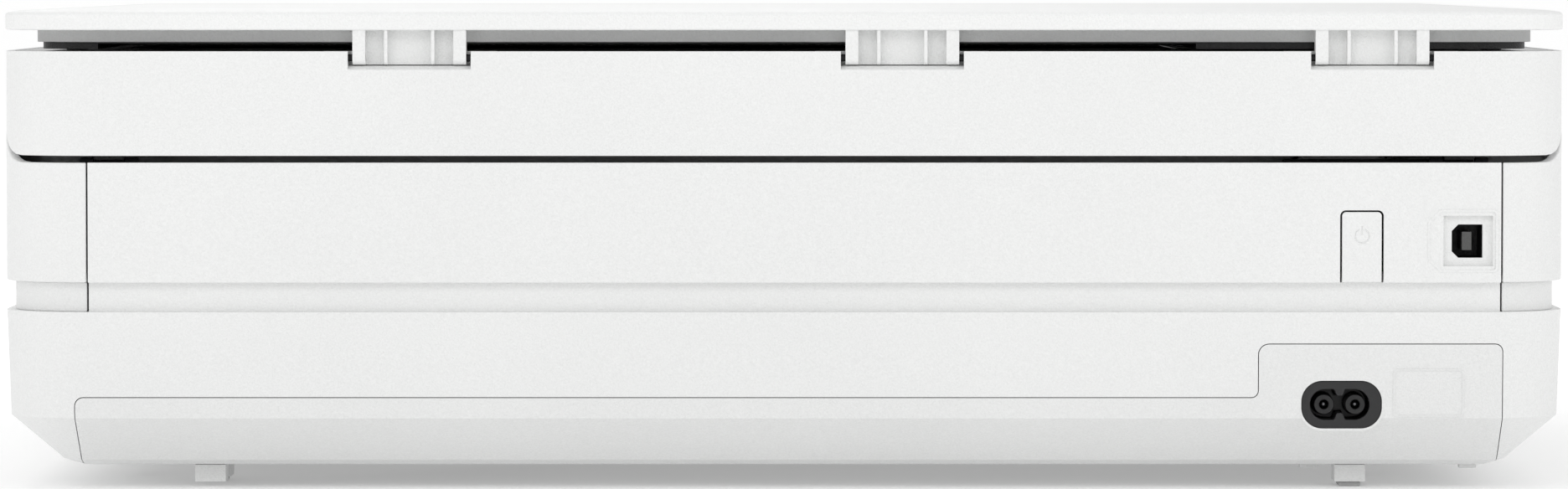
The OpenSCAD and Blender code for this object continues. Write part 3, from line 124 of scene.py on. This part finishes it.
def plastic(name, colour, rough, grain=1700.0, depth=0.0002, vary=0.03, spec=0.5,
            gloss_vary=0.06):
    """Moulded plastic: spark-eroded grain, and slow shifts of colour and gloss."""
    speckle_share = 0.75
    material, tree, shader = new_material(name)
    cloud = spread(tree, noise(tree, 14.0, 3.0), 0, 1)
    fine = noise(tree, grain, 2.0, 0.6)
    speckle = spread(tree, fine, 0, 1)
    mixed = number(tree, "ADD", number(tree, "MULTIPLY", cloud, 1 - speckle_share),
                   number(tree, "MULTIPLY", speckle, speckle_share))
    shade = tint(tree, mixed, scaled(colour, 1 - vary), scaled(colour, 1 + vary))
    tree.links.new(shade, shader.inputs["Base Color"])
    gloss = noise(tree, 60.0, 3.0, 0.6)
    gloss_range = spread(tree, gloss, rough - gloss_vary, rough + gloss_vary)
    tree.links.new(gloss_range, shader.inputs["Roughness"])
    shader.inputs["Specular IOR Level"].default_value = spec
    first = bump(tree, None, fine, depth)
    bump(tree, shader, noise(tree, 45.0, 2.0), 0.00004, 0.4, first)
    return material


def metal(name, colour, rough, stretch=(1, 40, 40)):
    """Plated steel with fine drawn lines and faint cloudiness."""
    material, tree, shader = new_material(name)
    lines = noise(tree, 120.0, 4.0, 0.7, stretch)
    cloud = noise(tree, 35.0, 3.0)
    shade = tint(tree, spread(tree, cloud, 0, 1), scaled(colour, 0.93), scaled(colour, 1.05))
    tree.links.new(shade, shader.inputs["Base Color"])
    tree.links.new(spread(tree, lines, rough - 0.08, rough + 0.1), shader.inputs["Roughness"])
    shader.inputs["Metallic"].default_value = 1.0
    bump(tree, shader, lines, 0.00001, 0.5)
    return material


def rubber(name, colour, rough=0.8):
    """Matt rubber with a faint bloom of dust."""
    material, tree, shader = new_material(name)
    dust = noise(tree, 90.0, 4.0, 0.7)
    shade = tint(tree, spread(tree, dust, 0, 1), scaled(colour, 0.85), scaled(colour, 1.2))
    tree.links.new(shade, shader.inputs["Base Color"])
    tree.links.new(spread(tree, dust, rough - 0.1, rough + 0.08), shader.inputs["Roughness"])
    bump(tree, shader, noise(tree, 1800.0, 3.0, 0.7), 0.00003)
    return material


def glass(name, colour):
    """Clear glass with faint smears."""
    material, tree, shader = new_material(name)
    shader.inputs["Base Color"].default_value = (*colour, 1)
    shader.inputs["Transmission Weight"].default_value = 1.0
    shader.inputs["IOR"].default_value = 1.5
    smear = noise(tree, 25.0, 4.0, 0.6)
    tree.links.new(spread(tree, smear, 0.0, 0.06, 0.4, 0.8), shader.inputs["Roughness"])
    return material


def number(tree, operation, a, b=None):
    """A maths node on one or two values, each a socket or a number."""
    node = tree.nodes.new("ShaderNodeMath")
    node.operation = operation
    for i, v in enumerate((a, b)):
        if v is None:
            continue
        if isinstance(v, (int, float)):
            node.inputs[i].default_value = v
        else:
            tree.links.new(v, node.inputs[i])
    return node.outputs[0]


def place(tree):
    """The object's own X, Y and Z, in metres."""
    coords = tree.nodes.new("ShaderNodeTexCoord")
    split = tree.nodes.new("ShaderNodeSeparateXYZ")
    tree.links.new(coords.outputs["Object"], split.inputs[0])
    return split.outputs


def off_axis(tree, axis, point, radius):
    """1 further than radius from a line along axis through point, else 0."""
    xyz = place(tree)
    total = None
    for i in range(3):
        if i == axis:
            continue
        d = number(tree, "SUBTRACT", xyz[i], point[i])
        d = number(tree, "MULTIPLY", d, d)
        total = d if total is None else number(tree, "ADD", total, d)
    return number(tree, "GREATER_THAN", total, radius * radius)


def in_box(tree, low, high):
    """1 inside a box, else 0. None leaves a side open."""
    xyz = place(tree)
    total = None
    for i in range(3):
        for limit, word in ((low[i], "GREATER_THAN"), (high[i], "LESS_THAN")):
            if limit is None:
                continue
            part = number(tree, word, xyz[i], limit)
            total = part if total is None else number(tree, "MULTIPLY", total, part)
    return total


def blend_of(name, mask_of, first, second):
    """One shader in two finishes: first where the mask is 0 and second where it is 1.

    Each finish is its colour, roughness and metallic value.
    """
    material, tree, shader = new_material(name)
    mask = mask_of(tree)
    slow = spread(tree, noise(tree, 30.0, 3.0), 0.94, 1.05)
    base = tint(tree, mask, first[0], second[0])
    shade = tree.nodes.new("ShaderNodeVectorMath")
    shade.operation = "SCALE"
    tree.links.new(base, shade.inputs[0])
    tree.links.new(slow, shade.inputs["Scale"])
    tree.links.new(shade.outputs[0], shader.inputs["Base Color"])
    gloss = spread(tree, noise(tree, 80.0, 3.0, 0.6), -0.05, 0.05)
    rough = number(tree, "ADD", number(tree, "MULTIPLY", mask, second[1] - first[1]), first[1])
    tree.links.new(number(tree, "ADD", rough, gloss), shader.inputs["Roughness"])
    metallic = number(tree, "ADD", number(tree, "MULTIPLY", mask, second[2] - first[2]), first[2])
    tree.links.new(metallic, shader.inputs["Metallic"])
    bump(tree, shader, noise(tree, 2000.0, 2.0, 0.6), 0.000008)
    return material


def joint_at(name):
    """The place of a joint's axis, in metres."""
    return next(j["pos_m"] for j in frame["joints"] if j["name"] == name)


def roller(name, joint, shaft, sleeve):
    """A steel shaft with sleeves in another finish, told apart by their distance from the axis."""
    return blend_of(name, lambda tree: off_axis(tree, 0, joint_at(joint), shaft), STEEL, sleeve)


def belt_finish(name, pulley, axis, posts=()):
    """Black belts in the pulley's plane, and steel for the motor and for the posts."""
    low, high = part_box(pulley)

    def mask_of(tree):
        mask = in_box(tree, [low[i] if i == axis else None for i in range(3)],
                      [high[i] if i == axis else None for i in range(3)])
        for point, radius in posts:
            mask = number(tree, "MULTIPLY", mask, off_axis(tree, axis, point, radius))
        return mask

    return blend_of(name, mask_of, STEEL, BELT)


def board_finish():
    """A green board with fine tracks, and black parts on its upper side."""
    material, tree, shader = new_material("board_green")
    coords = tree.nodes.new("ShaderNodeTexCoord")
    tracks = tree.nodes.new("ShaderNodeTexBrick")
    tree.links.new(coords.outputs["Object"], tracks.inputs["Vector"])
    tracks.inputs["Scale"].default_value = 160.0
    tracks.inputs["Mortar Size"].default_value = 0.03
    tracks.inputs["Color1"].default_value = (0.012, 0.115, 0.035, 1)
    tracks.inputs["Color2"].default_value = (0.014, 0.130, 0.040, 1)
    tracks.inputs["Mortar"].default_value = (0.035, 0.22, 0.08, 1)
    board_thickness = 0.0017
    board_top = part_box("main_board")[0][2] + board_thickness
    parts = in_box(tree, (None, None, board_top), (None, None, None))
    mix = tree.nodes.new("ShaderNodeMix")
    mix.data_type = "RGBA"
    mix.inputs[7].default_value = (0.015, 0.015, 0.016, 1)
    tree.links.new(parts, mix.inputs[0])
    tree.links.new(tracks.outputs["Color"], mix.inputs[6])
    tree.links.new(mix.outputs[2], shader.inputs["Base Color"])
    tree.links.new(spread(tree, noise(tree, 70.0), 0.25, 0.42), shader.inputs["Roughness"])
    bump(tree, shader, noise(tree, 1500.0), 0.00001)
    return material


STEEL = ((0.56, 0.56, 0.57), 0.3, 1.0)
BELT = ((0.015, 0.015, 0.016), 0.65, 0.0)
COATED = ((0.055, 0.055, 0.058), 0.75, 0.0)
IDLE_WHEEL = ((0.55, 0.55, 0.53), 0.45, 0.0)
WHITE = (0.83, 0.835, 0.83)

white = plastic("white_grained", WHITE, 0.42, vary=0.045)
# Lit and shaded copies of one white plastic. The lid is made lighter as painted light from above.
# The rear base panel, the recessed band and the lid frame are made darker as painted shade, and the
# frame is darkest, for the shade under the lid's rim.
lid_white_painted_light = plastic("white_lid_painted_light", (0.86, 0.865, 0.86), 0.40, vary=0.045)
base_white_painted_shade = plastic("white_base_painted_shade", (0.80, 0.805, 0.80), 0.45, vary=0.045)
band_white_painted_shade = plastic("white_band_painted_shade", (0.80, 0.805, 0.80), 0.45, vary=0.045)
frame_white_painted_shade = plastic("white_frame_painted_shade", (0.72, 0.725, 0.72), 0.5, vary=0.045)
tray_pale = plastic("tray_grey", (0.70, 0.705, 0.70), 0.4, vary=0.02)
dark = plastic("dark_moulding", (0.045, 0.045, 0.048), 0.45, vary=0.12)
# Dark plastic for the cable guide, made near black so that it also stands for the shade in the gap
# between scanner and body: partly painted shade.
dark_plate_painted_shade = plastic("dark_plate_painted_shade", (0.010, 0.010, 0.011), 0.6, vary=0.12)
grey = plastic("mid_grey", (0.16, 0.16, 0.165), 0.45, vary=0.08)
tongue = plastic("tongue_grey", (0.08, 0.08, 0.078), 0.4, vary=0.06)
black = plastic("black_grained", (0.016, 0.016, 0.017), 0.42, vary=0.15)
# Painted shade: the inlet is made darker where it is sunk below its face, for the shade in its
# cavity
inlet_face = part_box("power_inlet")[1][1] - 0.0006
socket = blend_of("socket_black_painted_shade",
                  lambda tree: in_box(tree, (None, inlet_face, None), (None, None, None)),
                  ((0.005, 0.005, 0.0055), 0.35, 0.0), ((0.015, 0.015, 0.016), 0.42, 0.0))
shell_black = plastic("shell_black", (0.009, 0.009, 0.010), 0.4, vary=0.15)
gloss_black = plastic("black_polished", (0.006, 0.006, 0.007), 0.1, 400.0, 0.0000008, 0.2,
                      gloss_vary=0.03)
acetal = plastic("acetal", (0.62, 0.60, 0.50), 0.4, vary=0.04)
steel = metal("plated_steel", (0.56, 0.56, 0.57), 0.32)
bright = metal("bright_steel", (0.72, 0.72, 0.72), 0.2)
pin_metal = metal("pin_metal", (0.20, 0.20, 0.21), 0.3)
blackened = metal("blackened_steel", (0.025, 0.025, 0.026), 0.45)
foot_rubber = rubber("foot_rubber", (0.42, 0.42, 0.42))
pick_rubber = rubber("pick_rubber", (0.05, 0.05, 0.055), 0.85)
clear = glass("float_glass", (0.86, 0.93, 0.90))
blue = plastic("latch_blue", (0.05, 0.16, 0.42), 0.3, vary=0.05)
latch_dark = plastic("latch_dark", (0.06, 0.06, 0.065), 0.3, vary=0.08)

PAINT = {
    "lower_casing": white, "upper_casing": white, "rear_panel": white, "scanner_housing": white,
    "power_button": white, "lid_cover": lid_white_painted_light, "lid_hinges": white, "middle_band": band_white_painted_shade,
    "rear_base_panel": base_white_painted_shade, "lid_frame": frame_white_painted_shade, "paper_tray": tray_pale,
    "output_extender": tray_pale, "paper_stop": tray_pale, "power_inlet": socket,
    "usb_shell": shell_black, "usb_tongue": tongue, "inlet_pins": pin_metal,
    "cable_guide": dark_plate_painted_shade, "rubber_feet": foot_rubber, "case_screws": steel,
    "control_panel": gloss_black, "scanner_hinges": dark, "side_frames": steel, "platen": dark,
    "output_shelf": grey, "carriage_rod": bright, "rail_beam": steel, "roller_holders": grey,
    "paper_guides": grey, "service_station": grey, "power_supply": black,
    "scanner_deck": gloss_black, "scanner_pan": black, "scan_glass": clear, "scan_rod": bright,
    "hinge_pins": blackened, "scan_pulley": acetal, "scan_idler": acetal, "lid_liner": black,
    "carriage": dark, "ink_cartridges": black, "latch_colour": blue,
    "latch_black": latch_dark, "belt_pulley": acetal, "belt_idler": acetal,
    "feed_pulley": acetal, "pick_arm": grey, "pick_roller": pick_rubber,
    "width_guide_left": grey, "width_guide_right": grey, "scan_head": black,
    "main_board": board_finish(),
    "feed_roller": roller("capstan", "feed_roller_spin", 0.0042, COATED),
    "exit_roller": roller("exit_shaft", "exit_roller_spin", 0.0032, COATED),
    "pinch_rollers": roller("pinch_shaft", "pinch_rollers_spin", 0.0014, IDLE_WHEEL),
    "star_wheels": roller("star_shaft", "star_wheels_spin", 0.0012, STEEL),
    "carriage_drive": belt_finish("carriage_belt", "belt_pulley", 1,
                                  [(joint_at("belt_idler_spin"), 0.0022)]),
    "scan_drive": belt_finish("scan_belt", "scan_pulley", 2,
                              [(joint_at("scan_idler_spin"), 0.0017)]),
    "feed_drive": belt_finish("feed_belts", "feed_pulley", 0),
}
for name, material in PAINT.items():
    mesh = nodes[name].data
    mesh.materials.clear()
    mesh.materials.append(material)


# ---------------------------------------------------------------- moulded edges
def soften(name, width, segments=3, sharp=35.0):
    """Rounds a moulding's edges, so that they catch the light as moulded edges do."""
    node = nodes[name]
    weld = node.modifiers.new("weld", "WELD")
    weld.merge_threshold = 0.00001
    flat = node.modifiers.new("flat", "DECIMATE")
    flat.decimate_type = "DISSOLVE"
    flat.angle_limit = math.radians(0.4)
    bevel = node.modifiers.new("edges", "BEVEL")
    bevel.width = width
    bevel.segments = segments
    bevel.limit_method = "ANGLE"
    bevel.angle_limit = math.radians(sharp)
    bevel.use_clamp_overlap = True
    bevel.harden_normals = False
    even = node.modifiers.new("even", "WEIGHTED_NORMAL")
    even.keep_sharp = True


for name in ("lid_frame", "power_button", "middle_band", "upper_casing", "control_panel",
             "paper_tray", "output_extender", "scanner_deck", "rubber_feet", "rear_panel",
             "scanner_housing", "power_inlet", "lid_hinges"):
    soften(name, 0.0004)
soften("lid_cover", 0.001)


# ---------------------------------------------------------------- document pad
def foam_pad(name, node, corner=0.004, roll=0.0007):
    """A foam sheet with rolled edges, whose free face bellies down slightly between them."""
    low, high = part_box(node)
    depth = high[2] - low[2]
    # Distance in from the edge, and share of the pad's depth, from the glued face round the edge
    profile = [(0.012, 1.0), (roll, 1.0), (0.3 * roll, 0.93), (0, 0.82), (0, 0.45),
               (0.3 * roll, 0.27), (roll, 0.17), (0.006, 0.12), (0.025, 0.05), (0.06, 0.0)]
    centre = ((low[0] + high[0]) / 2, (low[1] + high[1]) / 2)
    steps = 40

    def ring(inset, height):
        half = ((high[0] - low[0]) / 2 - inset, (high[1] - low[1]) / 2 - inset)
        radius = max(corner - inset, 0.0008)
        points = []
        for quarter, (sx, sy) in enumerate(((1, 1), (-1, 1), (-1, -1), (1, -1))):
            cx = centre[0] + sx * (half[0] - radius)
            cy = centre[1] + sy * (half[1] - radius)
            for i in range(7):
                a = math.radians(90 * quarter + 15 * i)
                points.append((cx + radius * math.cos(a), cy + radius * math.sin(a)))
        outline = []
        for i, (x, y) in enumerate(points):
            nx, ny = points[(i + 1) % len(points)]
            parts = steps if math.hypot(nx - x, ny - y) > 0.05 else 1
            outline += [(x + (nx - x) * k / parts, y + (ny - y) * k / parts) for k in range(parts)]
        z = low[2] + depth * height
        return [(x, y, z) for x, y in outline]

    bm = bmesh.new()
    rings = [[bm.verts.new(p) for p in ring(inset, height)] for inset, height in profile]
    count = len(rings[0])
    for upper, lower in zip(rings, rings[1:]):
        for i in range(count):
            k = (i + 1) % count
            bm.faces.new((upper[i], lower[i], lower[k], upper[k]))
    bm.faces.new(list(reversed(rings[0])))
    bm.faces.new(rings[-1])
    bmesh.ops.recalc_face_normals(bm, faces=bm.faces)
    for face in bm.faces:
        face.smooth = True
    mesh = bpy.data.meshes.new(name)
    bm.to_mesh(mesh)
    bm.free()
    piece = bpy.data.objects.new(name, mesh)
    bpy.context.collection.objects.link(piece)
    return piece


def pad_finish():
    """Dark foam with an off-white film on the side that faces the glass."""
    material, tree, shader = new_material("pad_foam_film")
    low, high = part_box("document_pad")
    film_z = low[2] + 0.22 * (high[2] - low[2])
    cells = tree.nodes.new("ShaderNodeTexVoronoi")
    coords = tree.nodes.new("ShaderNodeTexCoord")
    tree.links.new(coords.outputs["Object"], cells.inputs["Vector"])
    cells.inputs["Scale"].default_value = 1400.0
    edge = tint(tree, spread(tree, cells.outputs["Distance"], 0, 1, 0.1, 0.7),
                (0.17, 0.17, 0.172), (0.25, 0.25, 0.252))
    film = tint(tree, spread(tree, noise(tree, 20.0), 0, 1), (0.72, 0.72, 0.71), (0.76, 0.76, 0.75))
    mix = tree.nodes.new("ShaderNodeMix")
    mix.data_type = "RGBA"
    tree.links.new(in_box(tree, (None, None, None), (None, None, film_z)), mix.inputs[0])
    tree.links.new(edge, mix.inputs[6])
    tree.links.new(film, mix.inputs[7])
    tree.links.new(mix.outputs[2], shader.inputs["Base Color"])
    tree.links.new(spread(tree, noise(tree, 50.0), 0.7, 0.9), shader.inputs["Roughness"])
    shader.inputs["Sheen Weight"].default_value = 0.15
    bump(tree, shader, cells.outputs["Distance"], 0.00006)
    return material


pad = foam_pad("foam_document_pad", "document_pad")
pad.data.materials.append(pad_finish())
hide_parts("document_pad")
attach(pad, "lid")


# ---------------------------------------------------------------- camera, lights and floor
def lamp(name, location, aim, size, power):
    """A soft rectangular lamp that faces aim."""
    data = bpy.data.lights.new(name, "AREA")
    data.shape = "RECTANGLE"
    data.size, data.size_y = size
    data.energy = power
    lamp_object = bpy.data.objects.new(name, data)
    lamp_object.location = location
    lamp_object.rotation_euler = (Vector(aim) - Vector(location)).to_track_quat("-Z", "Y").to_euler()
    bpy.context.collection.objects.link(lamp_object)


camera_data = bpy.data.cameras.new("camera")
LENS = 163.1
CAMERA_BACK = 2.1305
CAMERA_UP = 0.1437
CAMERA_DOWN = 2.21
camera_data.lens = LENS
camera_data.sensor_width = 36.0
camera_data.clip_start = 0.05
camera_data.clip_end = 400.0
camera = bpy.data.objects.new("camera", camera_data)
camera.location = (0.0, CAMERA_BACK, CAMERA_UP)
camera.rotation_euler = (math.radians(90 - CAMERA_DOWN), 0.0, math.radians(180))
bpy.context.collection.objects.link(camera)
bpy.context.scene.camera = camera

world = bpy.data.worlds.new("studio")
world.use_nodes = True
world.node_tree.nodes["Background"].inputs["Color"].default_value = (1.0, 1.0, 1.0, 1)
world.node_tree.nodes["Background"].inputs["Strength"].default_value = 0.7
bpy.context.scene.world = world
bpy.context.scene.view_settings.view_transform = "Standard"

lamp("key", (0.9, 2.6, 1.9), (0, 0.1, 0.08), (1.6, 1.2), 11.5)
lamp("fill", (-1.6, 1.9, 1.2), (0, 0.1, 0.08), (1.6, 1.2), 5)
lamp("top", (0.0, -0.4, 2.4), (0, 0, 0.1), (2.2, 2.2), 8)
lamp("left", (2.2, 0.9, 0.7), (0.2, 0.1, 0.08), (1.2, 1.0), 3.5)
lamp("right", (-2.2, 0.9, 0.7), (-0.2, 0.1, 0.08), (1.2, 1.0), 2.5)
lamp("front", (0.6, -2.6, 1.6), (0, 0, 0.1), (1.8, 1.2), 10)

floor_mesh = bpy.data.meshes.new("floor")
FLOOR_HALF = 150
corners = [(x * FLOOR_HALF, y * FLOOR_HALF, 0) for x, y in ((-1, -1), (1, -1), (1, 1), (-1, 1))]
floor_mesh.from_pydata(corners, [], [(0, 1, 2, 3)])
floor = bpy.data.objects.new("floor", floor_mesh)
floor_material, floor_tree, floor_shader = new_material("floor_pale_painted_shadow")
# Painted shadow: the floor glows, and it is made darker and glows less near the printer, fading out
# between 0.28 and 0.75 m from the centre, as a soft shadow pool round it. A faint random cloud adds
# to the tone.
floor_xyz = place(floor_tree)
reach = number(floor_tree, "SQRT", number(
    floor_tree, "ADD", number(floor_tree, "MULTIPLY", floor_xyz[0], floor_xyz[0]),
    number(floor_tree, "MULTIPLY", floor_xyz[1], floor_xyz[1])))
painted_shadow_fade = spread(floor_tree, reach, 0, 1, 0.28, 0.75)
cloud = spread(floor_tree, noise(floor_tree, 3.0), -0.01, 0.01)
tone_and_painted_shadow = number(floor_tree, "ADD", painted_shadow_fade, cloud)
floor_tree.links.new(tint(floor_tree, tone_and_painted_shadow, (0.89, 0.89, 0.89), (0.93, 0.93, 0.93)),
                     floor_shader.inputs["Base Color"])
floor_tree.links.new(spread(floor_tree, painted_shadow_fade, 0.17, 0.34, 0, 1),
                     floor_shader.inputs["Emission Strength"])
floor_shader.inputs["Emission Color"].default_value = (1, 1, 1, 1)
floor_shader.inputs["Roughness"].default_value = 0.9
floor_mesh.materials.append(floor_material)
bpy.context.collection.objects.link(floor)
